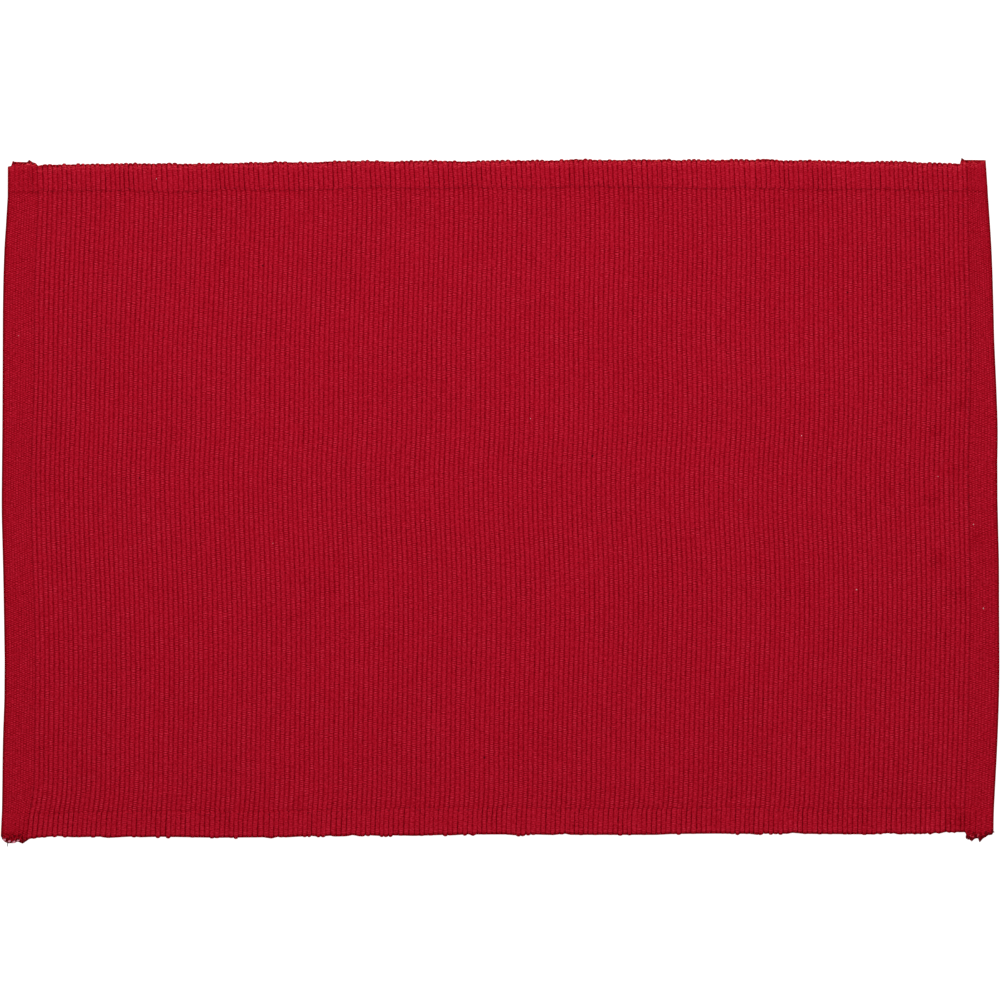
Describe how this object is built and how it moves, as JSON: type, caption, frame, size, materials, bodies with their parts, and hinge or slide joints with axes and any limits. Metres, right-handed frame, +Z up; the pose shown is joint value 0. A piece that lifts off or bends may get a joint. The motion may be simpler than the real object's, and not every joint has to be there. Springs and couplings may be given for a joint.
{
  "type": "fabric placemat",
  "caption": "Rectangular placemat of thick ribbed red cotton lying flat, with turned hems along its long sides and plain woven bands along its short ends.",
  "frame": {"origin": "under the middle of the cloth, in the plane of its back, on which it lies", "axes": "+X along the long side, +Y along the ribs and the short side, +Z up, out of the ribbed face"},
  "size_m": [0.485, 0.3327, 0.003],
  "materials": {
    "red_cotton": "dull warp-ribbed cotton"
  },
  "bodies": {
    "root": {"placemat": "red_cotton"}
  },
  "joints": []
}
